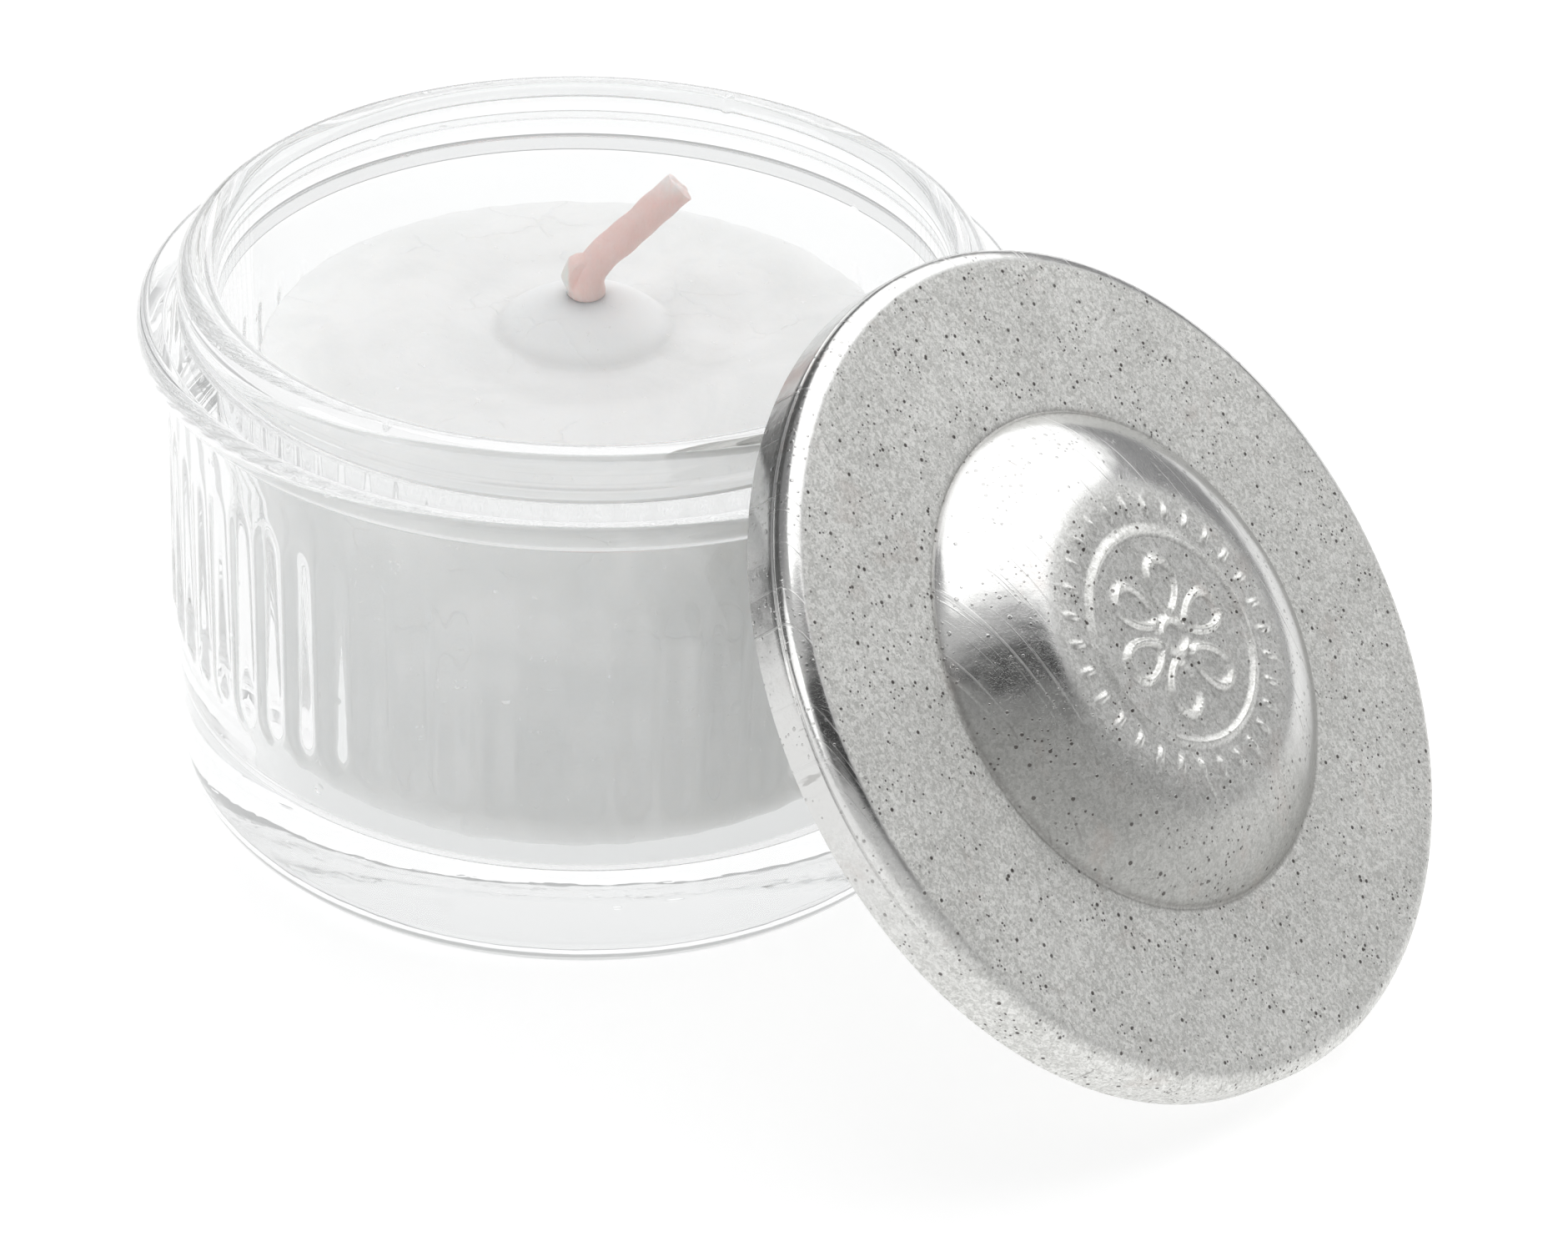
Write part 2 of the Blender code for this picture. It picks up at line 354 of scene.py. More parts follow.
class Shader(Nodes):
    """A material, with its textures in millimetres."""

    def __init__(self, name, place=None, **uniform):
        self.material = bpy.data.materials.new(name)
        self.material.use_nodes = True
        super().__init__(self.material.node_tree)
        self.surface = self.tree.nodes["Principled BSDF"]
        self.output = self.tree.nodes["Material Output"]
        for socket, value in uniform.items():
            self.surface.inputs[socket.replace("_", " ")].default_value = value
        if place:
            self.spot = self.node("ShaderNodeAttribute", attribute_name=place).outputs["Vector"]
        else:
            spot = self.node("ShaderNodeTexCoord").outputs["Object"]
            scaled = self.node("ShaderNodeVectorMath", [spot], operation="SCALE")
            scaled.inputs["Scale"].default_value = 1 / MM
            self.spot = scaled.outputs[0]

    def set(self, socket, value):
        self.put(self.surface.inputs[socket], value)

    def noise(self, scale, detail=3.0, rough=0.55, spot=None, distortion=0.0):
        inputs = {
            "Vector": self.spot if spot is None else spot,
            "Scale": scale,
            "Detail": detail,
            "Roughness": rough,
            "Distortion": distortion,
        }
        return self.node("ShaderNodeTexNoise", inputs).outputs[0]

    def cells(self, scale, feature="F1", spot=None):
        inputs = {"Vector": self.spot if spot is None else spot, "Scale": scale}
        return self.node("ShaderNodeTexVoronoi", inputs, feature=feature).outputs["Distance"]

    def grains(self, scale):
        """A random value of 0 to 1 for each small cell."""
        cells = self.node("ShaderNodeTexVoronoi", {"Vector": self.spot, "Scale": scale})
        return self.node("ShaderNodeSeparateColor", [cells.outputs["Color"]]).outputs[0]

    def stretched(self, scales, turn=0.0):
        """The place, turned about Z and scaled by axis."""
        inputs = {"Vector": self.spot, "Scale": scales, "Rotation": (0, 0, turn)}
        return self.node("ShaderNodeMapping", inputs).outputs[0]

    def along(self, direction):
        """How far the place lies in a direction."""
        inputs = [self.spot, direction]
        return self.node("ShaderNodeVectorMath", inputs, operation="DOT_PRODUCT").outputs["Value"]

    def radius(self):
        flat = self.node("ShaderNodeVectorMath", [self.spot, (1, 1, 0)], operation="MULTIPLY").outputs[0]
        return self.node("ShaderNodeVectorMath", [flat], operation="LENGTH").outputs["Value"]

    def bump(self, height, depth, normal=None):
        """A bump of the given depth in millimetres for a height of 0 to 1."""
        inputs = {"Height": height, "Distance": depth * MM, "Normal": normal}
        return self.node("ShaderNodeBump", inputs).outputs[0]


# ---------------------------------------------------------------- materials


def glass_material():
    """Clear pressed glass: faint mould ripple, a few seeds, and lamps shine through it."""
    glass = Shader("clear_pressed_glass", Transmission_Weight=1.0, IOR=1.5)
    cloud = glass.noise(0.09, 2)
    glass.set("Base Color", glass.mix(cloud, (0.87, 0.875, 0.875, 1), (0.9, 0.905, 0.905, 1)))
    glass.set("Roughness", glass.range(glass.step(glass.noise(0.35, 4), 0.55, 0.75), 0.0, 0.035))
    wave = glass.noise(0.45, 2, 0.5, glass.stretched((1, 1, 0.5)))
    seeds = glass.step(glass.cells(0.22), 0.1, 0.03)
    normal = glass.bump(wave, 0.007)
    glass.set("Normal", glass.bump(seeds, 0.03, normal))
    clear = glass.node("ShaderNodeBsdfTransparent", {"Color": (0.96, 0.965, 0.965, 1)})
    path = glass.node("ShaderNodeLightPath")
    mixed = glass.node("ShaderNodeMixShader")
    glass.put(mixed.inputs[0], path.outputs["Is Shadow Ray"])
    glass.put(mixed.inputs[1], glass.surface.outputs[0])
    glass.put(mixed.inputs[2], clear.outputs[0])
    glass.put(glass.output.inputs["Surface"], mixed.outputs[0])
    return glass.material


def tin_material():
    """Worn tinplate: frosted and mottled on the flat brim and the dome's top, polished where it was drawn,
    with painted shade on the dome's flank.
    """
    tin = Shader("worn_tinplate", LID_PLACE, Metallic=1.0)
    radius = tin.radius()
    height = tin.along((0, 0, 1))
    down = tin.along((1, 0, 0))
    drawn = tin.math("MULTIPLY", tin.step(radius, 8.6, 10.0), tin.step(radius, 15.0, 14.8))
    patchy = tin.range(tin.noise(0.25, 4), -6.0, 6.0)
    worn = tin.step(tin.math("ADD", tin.along((0.8, -0.6, 0)), patchy), 1.0, 8.0)
    drawn = tin.math("MULTIPLY", drawn, tin.range(worn, 1.0, 0.2))
    edge = tin.math("MAXIMUM", tin.step(radius, 24.15, 24.6), tin.step(height, -0.3, -0.6))
    low_side = tin.step(tin.math("ADD", down, patchy), -6.0, 8.0)
    edge = tin.math("MULTIPLY", edge, tin.range(low_side, 1.0, 0.1))
    polished = tin.math("MAXIMUM", drawn, edge)
    frosted = tin.math("SUBTRACT", 1.0, polished)

    grain = tin.noise(4.5, 3, 0.6)
    coarse = tin.math("MULTIPLY", tin.grains(5.0), 0.3)
    fine = tin.math("MULTIPLY", tin.grains(10.0), 0.3)
    streaks = tin.math("MULTIPLY", tin.noise(1.0, 4, 0.6, tin.stretched((1.2, 6, 1.2), 0.7)), 0.2)
    spangle = tin.math("ADD", tin.math("ADD", coarse, fine), streaks)
    spangle = tin.math("ADD", spangle, tin.math("MULTIPLY", tin.noise(2.2, 6, 0.8), 0.3))
    cloud = tin.noise(0.13, 4, 0.6)
    bright = tin.mix(tin.step(cloud, 0.3, 0.7), (0.87, 0.87, 0.85, 1), (0.96, 0.96, 0.94, 1))
    fleck_tone = tin.mix(tin.step(spangle, 0.25, 0.85), (0.64, 0.64, 0.63, 1), (1.0, 1.0, 1.0, 1))
    bright = tin.mix(1.0, bright, fleck_tone, "MULTIPLY")
    # Painted shade: the frosted tone on the dome's flank is darkened, most toward its outer part.
    flank = tin.math("MULTIPLY", tin.step(radius, 9.0, 11.0), tin.step(radius, 15.0, 14.8))
    outer_flank = tin.math("MULTIPLY", tin.step(radius, 10.0, 13.0), tin.step(radius, 15.0, 14.8))
    flank_painted_shade = tin.mix(outer_flank, (0.76, 0.76, 0.75, 1), (0.5, 0.5, 0.49, 1))
    bright = tin.mix(flank, bright, tin.mix(1.0, bright, flank_painted_shade, "MULTIPLY"))
    # Painted shade: the polished tone is darker on the right side of the dome's outer flank.
    right_flank_painted_shade = tin.math("MULTIPLY", tin.step(tin.along((0.5, 0.87, 0)), 3.0, 9.0), outer_flank)
    polish_tone_and_painted_shade = tin.mix(right_flank_painted_shade, (0.68, 0.68, 0.67, 1), (0.4, 0.4, 0.39, 1))
    tone = tin.mix(frosted, polish_tone_and_painted_shade, bright)
    rust = tin.math("MULTIPLY", tin.step(tin.noise(0.2, 4, 0.65, distortion=0.5), 0.58, 0.72), 0.22)
    tone = tin.mix(rust, tone, (0.5, 0.41, 0.37, 1))
    pits = tin.math("MULTIPLY", tin.step(tin.cells(1.1), 0.16, 0.1), tin.step(tin.noise(0.3, 2), 0.36, 0.5))
    peppered = tin.step(tin.noise(0.4, 3), 0.46, 0.56)
    fine_pits = tin.math("MULTIPLY", tin.step(tin.cells(2.4), 0.22, 0.13), peppered)
    pits = tin.math("MULTIPLY", tin.math("MAXIMUM", pits, fine_pits), tin.range(polished, 1.0, 0.3))
    tone = tin.mix(tin.math("MULTIPLY", pits, 0.9), tone, (0.06, 0.05, 0.045, 1))
    crease = tin.math("MULTIPLY", tin.step(radius, 14.6, 14.95), tin.step(radius, 15.2, 14.95))
    tone = tin.mix(tin.math("MULTIPLY", crease, 0.45), tone, (0.16, 0.15, 0.14, 1))
    nicks = tin.step(tin.noise(0.7, 3, 0.5, tin.stretched((0.5, 5, 0.4), 1.2)), 0.68, 0.74)
    tone = tin.mix(tin.math("MULTIPLY", nicks, 0.5), tone, (0.3, 0.29, 0.28, 1))
    tin.set("Base Color", tone)

    scratch_a = tin.step(tin.noise(0.5, 3, 0.5, tin.stretched((0.12, 7, 0.1), 0.7)), 0.62, 0.7)
    scratch_b = tin.step(tin.noise(0.5, 3, 0.5, tin.stretched((0.1, 8, 0.1), -0.9)), 0.64, 0.72)
    scratches = tin.math("MAXIMUM", scratch_a, scratch_b)
    polish_rough = tin.range(tin.noise(0.4, 4), 0.1, 0.26)
    outer_rough = tin.math("MULTIPLY", tin.step(radius, 12.0, 15.5), 0.16)
    frost_rough = tin.math("ADD", tin.range(grain, 0.36, 0.5), outer_rough)
    polish_rough = tin.math("MULTIPLY", polish_rough, polished)
    frost_rough = tin.math("MULTIPLY", frost_rough, frosted)
    rough = tin.math("ADD", polish_rough, frost_rough)
    rough = tin.math("ADD", rough, tin.math("MULTIPLY", scratches, 0.12))
    tin.set("Roughness", rough)

    relief = tin.math("MULTIPLY", spangle, tin.range(frosted, 0.15, 1.0))
    relief = tin.math("SUBTRACT", relief, tin.math("MULTIPLY", pits, 1.2))
    relief = tin.math("SUBTRACT", relief, tin.math("MULTIPLY", scratches, 0.12))
    tin.set("Normal", tin.bump(relief, 0.03, tin.bump(tin.noise(0.35, 2), 0.04)))
    return tin.material


def wax_material():
    """White paraffin: slightly translucent, with cloudy patches, crack lines and crumbs, painted shade toward
    the bottom and painted light on the top face and the mound.
    """
    wax = Shader("white_wax", IOR=1.44, Subsurface_Weight=0.8, Subsurface_Scale=0.005)
    wax.surface.inputs["Subsurface Radius"].default_value = (1.0, 0.95, 0.9)
    cloud = wax.noise(0.12, 5, 0.6, distortion=0.6)
    tone = wax.mix(wax.step(cloud, 0.35, 0.65), (0.76, 0.765, 0.76, 1), (0.83, 0.83, 0.825, 1))
    bend = wax.node("ShaderNodeTexNoise", {"Vector": wax.spot, "Scale": 0.3, "Detail": 3.0}).outputs["Color"]
    bend = wax.node("ShaderNodeVectorMath", [bend, (3.5, 3.5, 3.5)], operation="MULTIPLY").outputs[0]
    bent = wax.node("ShaderNodeVectorMath", [wax.spot, bend], operation="ADD").outputs[0]
    crack = wax.step(wax.cells(0.2, "DISTANCE_TO_EDGE", bent), 0.03, 0.0)
    crack = wax.math("MULTIPLY", crack, wax.step(wax.noise(0.16, 2), 0.52, 0.6))
    tone = wax.mix(wax.math("MULTIPLY", crack, 0.12), tone, (0.6, 0.61, 0.61, 1))
    # Painted shade: the wax is darker toward the bottom.
    depth = wax.step(wax.along((0, 0, 1)), 25.0, 8.0)
    tone = wax.mix(wax.math("MULTIPLY", depth, 0.22), tone, (0.45, 0.46, 0.46, 1))
    # Painted light: the top face is lighter.
    top = wax.step(wax.along((0, 0, 1)), 27.9, 28.4)
    tone = wax.mix(wax.math("MULTIPLY", top, 0.3), tone, (0.93, 0.935, 0.93, 1))
    # Painted light: the mound round the wick is lighter.
    mound = wax.step(wax.along((0, 0, 1)), 28.45, 29.2)
    tone = wax.mix(wax.math("MULTIPLY", mound, 0.6), tone, (0.95, 0.96, 0.955, 1))
    crumbs = wax.step(wax.noise(1.6, 3, 0.6), 0.66, 0.74)
    tone = wax.mix(crumbs, tone, (0.95, 0.95, 0.95, 1))
    wax.set("Base Color", tone)
    wax.set("Roughness", wax.range(wax.noise(0.6, 4), 0.35, 0.6))
    relief = wax.math("SUBTRACT", wax.noise(0.5, 5, 0.6), wax.math("MULTIPLY", crack, 0.25))
    relief = wax.math("ADD", relief, wax.math("MULTIPLY", crumbs, 0.4))
    wax.set("Normal", wax.bump(relief, 0.12))
    return wax.material


def wick_material():
    """Salmon pink cotton, soaked in wax and paler at its tip."""
    wick = Shader("waxed_pink_cotton", IOR=1.45, Subsurface_Weight=0.5, Subsurface_Scale=0.0012)
    wick.surface.inputs["Subsurface Radius"].default_value = (1.0, 0.5, 0.45)
    mottle = wick.noise(1.3, 4, 0.6)
    tone = wick.mix(mottle, (0.95, 0.69, 0.64, 1), (0.96, 0.79, 0.76, 1))
    tip = wick.math("MULTIPLY", wick.step(wick.along((0, 0, 1)), 36.6, 37.7), wick.range(mottle, 0.3, 1.0))
    tone = wick.mix(tip, tone, (0.95, 0.9, 0.88, 1))
    reach = -(FLAP_SIDE[0] * WICK_X + FLAP_SIDE[1] * WICK_Y)
    clinging = wick.step(wick.math("ADD", wick.along(FLAP_SIDE), reach), 0.95, 1.2)
    tone = wick.mix(clinging, tone, (0.9, 0.9, 0.86, 1))
    wick.set("Base Color", tone)
    wick.set("Roughness", wick.range(wick.noise(2.0, 3), 0.3, 0.55))
    fibres = wick.noise(1.6, 4, 0.6, wick.stretched((2.5, 2.5, 0.7)))
    wick.set("Normal", wick.bump(fibres, 0.1))
    return wick.material


def tab_material():
    """Bright pressed steel with fine brushing."""
    steel = Shader("pressed_tab_steel", Metallic=1.0)
    brushing = steel.noise(2.0, 4, 0.6, steel.stretched((0.2, 5, 5), 0.4))
    steel.set("Base Color", steel.mix(brushing, (0.58, 0.58, 0.57, 1), (0.74, 0.74, 0.73, 1)))
    steel.set("Roughness", steel.range(brushing, 0.2, 0.4))
    steel.set("Normal", steel.bump(brushing, 0.02))
    return steel.material


def floor_material():
    paper = Shader("lit_white_table", Roughness=0.9, Emission_Strength=0.73)
    paper.surface.inputs["Specular IOR Level"].default_value = 0.1
    paper.surface.inputs["Emission Color"].default_value = (1, 1, 1, 1)
    paper.set("Base Color", paper.mix(paper.noise(0.02, 2), (0.42, 0.42, 0.42, 1), (0.44, 0.44, 0.44, 1)))
    return paper.material


# ---------------------------------------------------------------- jar


def jar_profile():
    """From the middle of the inside floor, up the inside, over the rim and down to the table."""
    corners = [
        (0.0, FLOOR_Z, 0),
        (FLOOR_R, FLOOR_Z, 1.0),
        (MOUTH_R, JAR_H - RIM_ROUND, 0.5),
        (MOUTH_R, JAR_H, RIM_ROUND),
        (RIM_R, JAR_H, RIM_ROUND),
        (RIM_R, NECK_TOP_Z + 0.2, 0.5),
        (NECK_R, NECK_TOP_Z - 0.2, 0.4),
        (NECK_R, LEDGE_Z, 0.3),
        (SHOULDER_R, LEDGE_Z, SHOULDER_ROUND),
        (SHOULDER_R, SHOULDER_LOW_Z, SHOULDER_ROUND),
        (WALL_R, WALL_TOP_Z, 0.35),
        (WALL_R, PARTING_Z, 0.06),
        (FOOT_R, PARTING_Z - 0.15, 0.06),
        (FOOT_R, 0.0, FOOT_ROUND),
        (0.0, 0.0, 0),
    ]
    return rounded(corners, 0.42)


def thin_out(profile, keep):
    """Drops points that the shape doesn't need: on straight runs only every few points stay."""
    kept = [0]
    for index in range(1, len(profile) - 1):
        before = profile[index] - profile[index - 1]
        after = profile[index + 1] - profile[index]
        turn = abs(before[0] * after[1] - before[1] * after[0])
        straight = turn < 1e-4 * np.linalg.norm(before) * np.linalg.norm(after) + 1e-9
        if straight and not keep(profile[index]) and np.linalg.norm(profile[index] - profile[kept[-1]]) < 2.4:
            continue
        kept.append(index)
    kept.append(len(profile) - 1)
    return profile[kept]


def rib_height(angle, height):
    """How far the outer wall stands proud: long low arches with rounded ends."""
    pitch = math.tau / RIB_COUNT
    across = (np.mod(angle + pitch / 2, pitch) - pitch / 2) * WALL_R
    middle = (RIB_LOW_Z + RIB_HIGH_Z) / 2
    straight = (RIB_HIGH_Z - RIB_LOW_Z) / 2 - RIB_END
    along = np.maximum(0, np.abs(height - middle) - straight)
    spread = (across / (RIB_WIDTH / 2)) ** 2 + (along / RIB_END) ** 2
    fade = 1 - RIB_FADE * (height - RIB_LOW_Z) / (RIB_HIGH_Z - RIB_LOW_Z)
    return RIB_HEIGHT * fade * np.clip(1 - spread, 0, None) ** 2


def make_jar():
    profile = thin_out(jar_profile(), lambda point: point[0] > WALL_R - 0.01 and 10 < point[1] < 28)
    outer_from = int(np.argmax(profile[:, 1]))
    rows = []
    for index, row in enumerate(spun(profile, JAR_SEGMENTS)):
        angle = np.arctan2(row[:, 1], row[:, 0])
        radius, height = profile[index]
        push = np.zeros(len(angle))
        if radius > 5:
            calm = smoothstep(height, 0.0, 1.5)
            seed = OUTSIDE_SEED if index > outer_from else INSIDE_SEED
            push -= calm * (GLASS_INSET + GLASS_RIPPLE * ripple(angle, height, seed))
        if index > outer_from:
            push -= FOOT_LINE_DEPTH * math.exp(-(((height - FOOT_LINE_Z) / FOOT_LINE_W) ** 2))
        if index > outer_from and radius > WALL_R - 0.01:
            push += rib_height(angle, height)
            rope = smoothstep(1 - abs(height - ROPE_Z) / 0.35, 0, 1)
            push -= rope * ROPE_DEPTH * (0.5 + 0.5 * np.sin(angle * ROPE_COUNT))
        row[:, 0] += np.cos(angle) * push
        row[:, 1] += np.sin(angle) * push
        rows.append(row)
    mesh = lathe_mesh("jar_glass", rows)
    print("jar", len(rows), "rows", len(mesh.polygons) * 2, "triangles")
    return new_piece("jar_glass", mesh, glass_material(), "jar", ["glass_jar"])


# ---------------------------------------------------------------- lid


def petals():
    """Points along the outline of the lid's motif: a plain rosette of petals round a small circle."""
    turn = np.linspace(0, math.tau, 60, endpoint=False)
    lines = [np.stack([np.cos(turn) * MOTIF_CIRCLE_R, np.sin(turn) * MOTIF_CIRCLE_R], 1)]
    along = PETAL_MIDDLE - PETAL_LENGTH * np.cos(turn)
    across = PETAL_WIDTH * np.sin(turn) * (1 - PETAL_TAPER * np.cos(turn))
    for index in range(PETAL_COUNT):
        bearing = (index + 0.5) * math.tau / PETAL_COUNT
        x = along * math.cos(bearing) - across * math.sin(bearing)
        y = along * math.sin(bearing) + across * math.cos(bearing)
        lines.append(np.stack([x, y], 1))
    return lines


def stroke(x, y, line, width):
    """1 on the closed line and 0 beyond half its width, rounded."""
    nearest = np.full(x.shape, 1e9)
    for start, end in zip(line, np.roll(line, -1, axis=0)):
        run = end - start
        share = np.clip(((x - start[0]) * run[0] + (y - start[1]) * run[1]) / (run @ run), 0, 1)
        gap = np.hypot(x - start[0] - share * run[0], y - start[1] - share * run[1])
        nearest = np.minimum(nearest, gap)
    return smoothstep(1 - nearest / (width / 2), 0.0, 0.9)


def lid_relief(x, y):
    """The raised marks on the dome: a ring, radial dashes round it and the motif inside it."""
    radius = np.hypot(x, y)
    angle = np.arctan2(y, x)
    relief = RING_H * smoothstep(1 - np.abs(radius - RING_R) / (RING_W / 2), 0, 0.9)
    pitch = math.tau / DASH_COUNT
    across = (np.mod(angle, pitch) - pitch / 2) * radius
    dash = smoothstep(1 - np.abs(across) / DASH_W, 0, 0.8)
    dash = dash * smoothstep(radius, DASH_R[0], DASH_R[0] + 0.25)
    dash = dash * smoothstep(-radius, -DASH_R[1], -DASH_R[1] + 0.35)
    relief = relief + DASH_H * dash
    motif = np.zeros(x.shape)
    for line in petals():
        motif = np.maximum(motif, stroke(x, y, line, MOTIF_W))
    return relief + MOTIF_H * motif


def lid_profile():
    """The outer face from the dome's middle over the brim and down the skirt."""
    run = DOME_R - DOME_TOP_R
    flank_r = (run**2 + DOME_H**2) / (2 * DOME_H)
    steepest = math.asin(run / flank_r)
    top = [(radius, DOME_H) for radius in np.linspace(0, DOME_TOP_R, 40)]
    flank = []
    for step in range(1, 27):
        angle = steepest * step / 26
        flank.append((DOME_TOP_R + flank_r * math.sin(angle), DOME_H - flank_r * (1 - math.cos(angle))))
    flank[-1] = (DOME_R - 0.1, 0.1)
    corners = [
        (DOME_R - 0.1, 0.1, 0),
        (DOME_R + 0.04, -0.05, 0.12),
        (DOME_R + 0.35, 0.0, 0.4),
        (LID_R, 0.0, EDGE_ROUND),
        (LID_R, -GROOVE_DROP + 0.12, 0.05),
        (LID_R - GROOVE_DEPTH, -GROOVE_DROP, 0.05),
        (LID_R, -GROOVE_DROP - 0.12, 0.05),
        (LID_R, -SKIRT, 0),
    ]
    brim = rounded(corners, 0.4)
    return np.concatenate([top, flank, brim[1:]])


def sheet_normals(profile):
    run = np.gradient(profile, axis=0)
    run /= np.linalg.norm(run, axis=1)[:, None]
    return np.stack([-run[:, 1], run[:, 0]], 1)


def make_lid():
    profile = lid_profile()
    inside = profile - sheet_normals(profile) * TIN
    inside[0] = (0.0, DOME_H - TIN)
    inside[-1, 1] = -SKIRT
    outer = spun(profile, LID_SEGMENTS)
    inner = spun(inside, LID_SEGMENTS)
    for rows, sheet in ((outer, profile), (inner, inside)):
        for row, (radius, height) in zip(rows, sheet):
            angle = np.arctan2(row[:, 1], row[:, 0])
            dent = ripple(angle, radius, 21, lowest=1, highest=6, vertical=0.5)
            firm = smoothstep(radius, 1.0, 6.0) * smoothstep(-radius, -LID_R + 0.6, -LID_R + 3)
            row[:, 2] += LID_DENT * firm * dent
            if 0 < radius < DOME_TOP_R + 2:
                row[:, 2] += lid_relief(row[:, 0], row[:, 1])
    rows = outer + inner[::-1]
    mesh = lathe_mesh("lid_tin", [row[::-1] for row in rows])
    print("lid", len(rows), "rows", len(mesh.polygons) * 2, "triangles")
    middle = Vector((LID_REACH, 0, LID_R * math.sin(LEAN) + SKIRT * math.cos(LEAN))) * MM
    keep_place(mesh, LID_PLACE)
    mesh.transform(Matrix.Translation(middle) @ Matrix.Rotation(LEAN, 4, "Y"))
    return new_piece("lid_tin", mesh, tin_material(), "lid", ["tin_lid"])


# ---------------------------------------------------------------- tealight


def make_wax():
    """The block, with the mound round the wick, a bore for the wick and a recess for the tab."""
    bore = WICK_R - 0.12
    tab_bore = TAB_R + 0.25
    neck_bore = WICK_R + 0.85
    top = [(bore, WAX_BASE_Z + 4.3, 1.0), (bore, WAX_TOP_Z + MOUND_H * 0.93, 1.0)]
    for share in np.linspace(0.26, 0.99, 18):
        lift = (MOUND_H + MOUND_ROOT) * math.cos(share * math.pi / 2) ** MOUND_CURVE - MOUND_ROOT
        top.append((MOUND_R * share, WAX_TOP_Z + max(lift, 0.0), 1.0))
    for radius in np.linspace(MOUND_R + 0.35, WAX_R - 0.7, 44):
        top.append((radius, WAX_TOP_Z, 1 - smoothstep(radius, MOUND_R, WAX_R - 2)))
    corners = [
        (WAX_R - 0.5, WAX_TOP_Z, 0),
        (WAX_R, WAX_TOP_Z, 0.22),
        (WAX_R, WAX_BASE_Z + WAX_FOOT_H, 0.8),
        (WAX_FOOT_R - 0.02, WAX_BASE_Z + 0.35, 0.25),
        (WAX_FOOT_R - 0.02, WAX_BASE_Z, 0.25),
        (tab_bore, WAX_BASE_Z, 0.1),
        (tab_bore, WAX_BASE_Z + 0.6, 0.1),
        (neck_bore, WAX_BASE_Z + 0.6, 0.1),
        (neck_bore, WAX_BASE_Z + 4.3, 0.1),
        (bore, WAX_BASE_Z + 4.3, 0),
    ]
    side = []
    for radius, height in rounded(corners, 0.75)[:-1]:
        side.append((radius, height, 1.0 if radius < TAB_R + 1 else 0.0))
    profile = np.array(top + side)
    wick_center = np.array([WICK_X, WICK_Y])
    wax_center = np.array([WAX_X, WAX_Y])
    share = profile[:, 2:3]
    centers = wick_center * share + wax_center * (1 - share)
    rows = spun(profile[:, :2], WAX_SEGMENTS, centers)
    for row, (radius, height, _) in zip(rows, profile):
        angle = np.arctan2(row[:, 1], row[:, 0])
        if radius > WAX_R - 1.5:
            ragged = WAX_RAGGED * (1 + ripple(angle, height, 5, lowest=5, highest=60, vertical=0.6))
            from_middle = np.abs(height - (WAX_TOP_Z + WAX_BASE_Z) / 2)
            ragged += WAX_WORN_EDGE * smoothstep(from_middle, 9.5, 11)
            ragged = np.clip(ragged, 0, 0.3)
            row[:, 0] -= np.cos(angle) * ragged
            row[:, 1] -= np.sin(angle) * ragged
        if height > WAX_TOP_Z - 0.4 and radius > bore + 0.2:
            uneven = ripple(row[:, 0] / 3, row[:, 1] / 2.2, 6, waves=14, lowest=1, highest=5, vertical=2.0)
            row[:, 2] += WAX_UNEVEN * (uneven - 2.0) * smoothstep(radius, 2.0, 4.0)
            from_wick = np.hypot(row[:, 0] - WICK_X, row[:, 1] - WICK_Y)
            row[:, 2] -= MOAT_DEPTH * np.exp(-(((from_wick - MOAT_R) / MOAT_W) ** 2))
    mesh = lathe_mesh("wax_cast", rows, closed=True)
    print("wax", len(rows), "rows", len(mesh.polygons) * 2, "triangles")
    return new_piece("wax_cast", mesh, wax_material(), "candle", ["wax_block"])


def wick_path():
    """Points up through the wax, round a short bend and out to the tip."""
    bend = np.array([WICK_X, WICK_Y, WICK_BEND_Z])
    tip = np.array(WICK_TIP)
    lean = (tip - bend) / np.linalg.norm(tip - bend)
    below = bend - np.array([0, 0, WICK_BEND])
    past = bend + lean * WICK_BEND
    heights = np.linspace(WAX_BASE_Z + 0.35, below[2], 60)[:-1]
    points = [np.array([WICK_X, WICK_Y, height]) for height in heights]
    for share in np.linspace(0, 1, 10):
        points.append((1 - share) ** 2 * below + 2 * share * (1 - share) * bend + share**2 * past)
    points += [past + (tip - past) * share for share in np.linspace(0, 1, 40)[1:]]
    return np.array(points)


